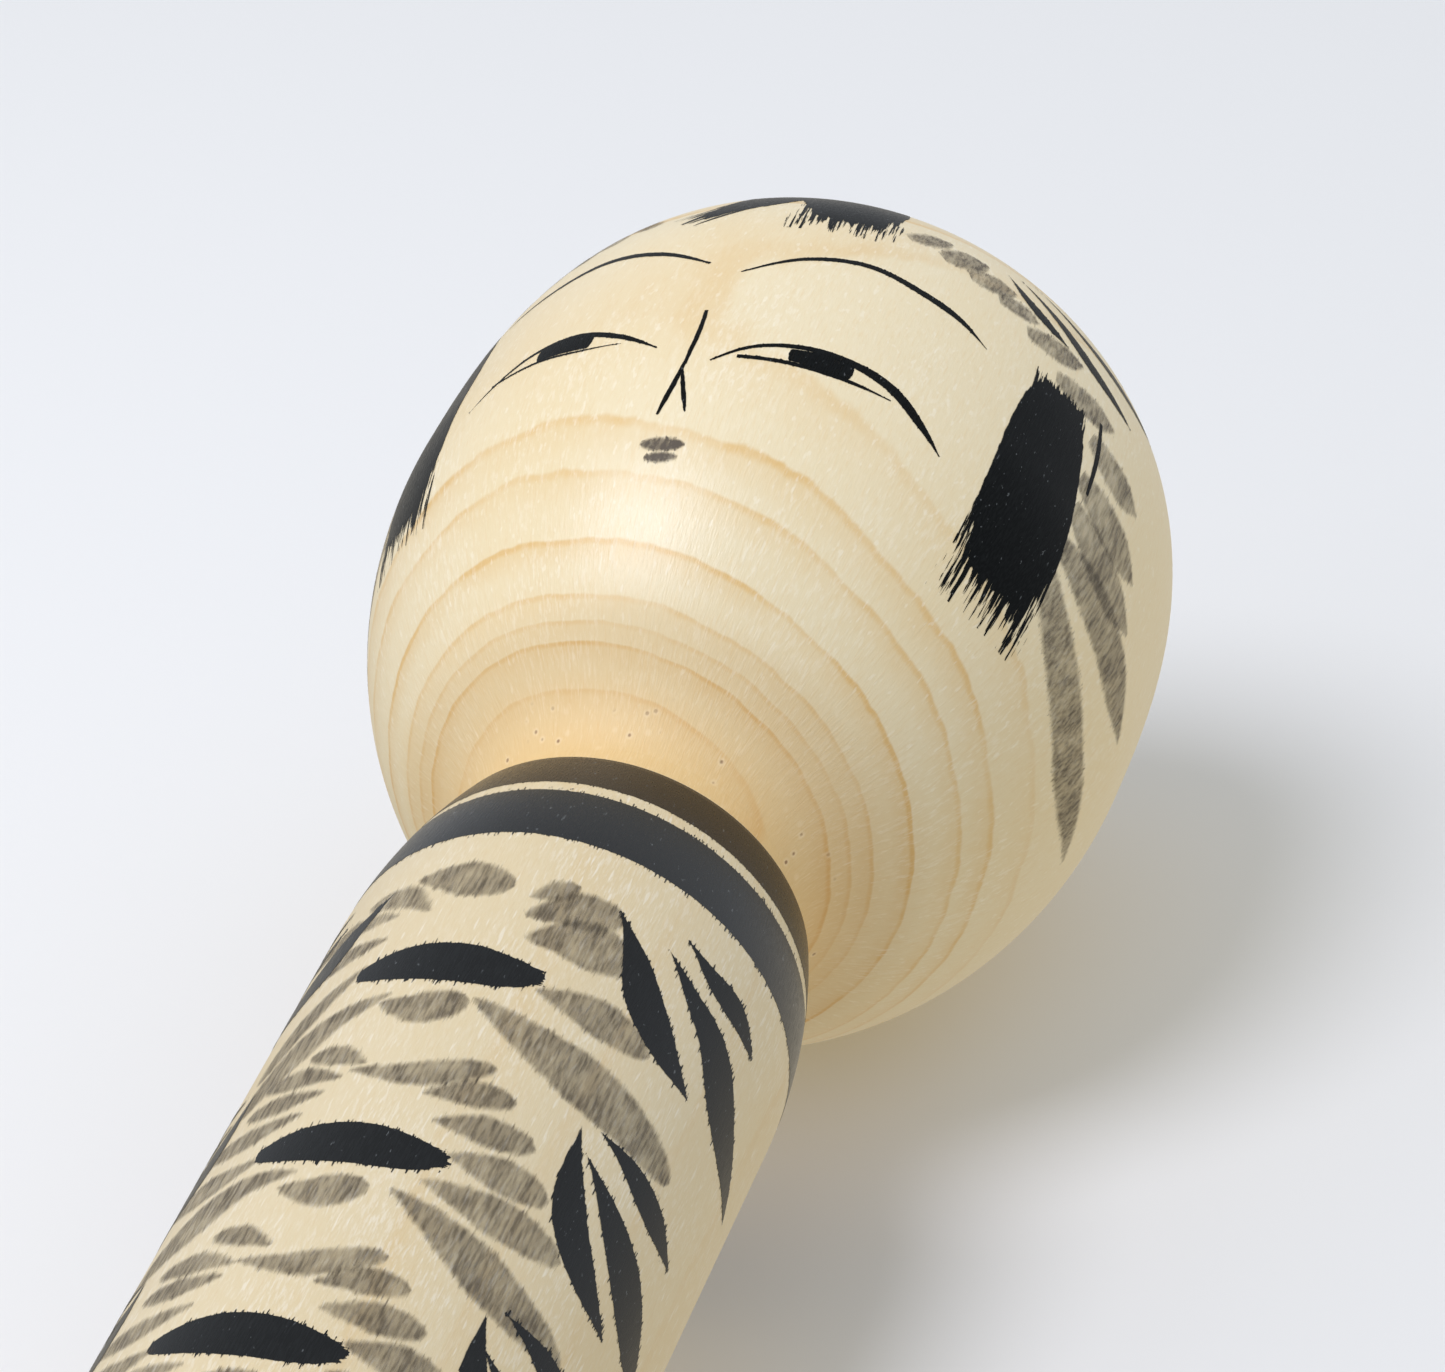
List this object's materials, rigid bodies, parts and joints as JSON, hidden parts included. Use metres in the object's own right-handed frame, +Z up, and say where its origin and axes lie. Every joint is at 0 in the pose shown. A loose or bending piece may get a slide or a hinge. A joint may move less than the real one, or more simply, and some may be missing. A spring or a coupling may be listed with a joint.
{
  "type": "kokeshi doll",
  "caption": "Turned wooden kokeshi doll: a round painted head with a tenon that plugs into a cylindrical body and turns by hand.",
  "frame": {"origin": "centre of the flat base that the doll stands on", "axes": "+Z up along the turning axis of both pieces; the painted face looks towards -Y"},
  "size_m": [0.08, 0.08, 0.242],
  "materials": {
    "body_wood": "waxed satin over brushed ink decoration",
    "head_wood": "waxed satin over brushed ink decoration"
  },
  "bodies": {
    "body": {"body": "body_wood"},
    "head": {"head": "head_wood"}
  },
  "joints": [
    {"name": "head_turn", "type": "hinge", "parent": "body", "child": "head", "pos_m": [0, 0, 0.1488], "axis": [0, 0, 1], "continuous": true}
  ]
}
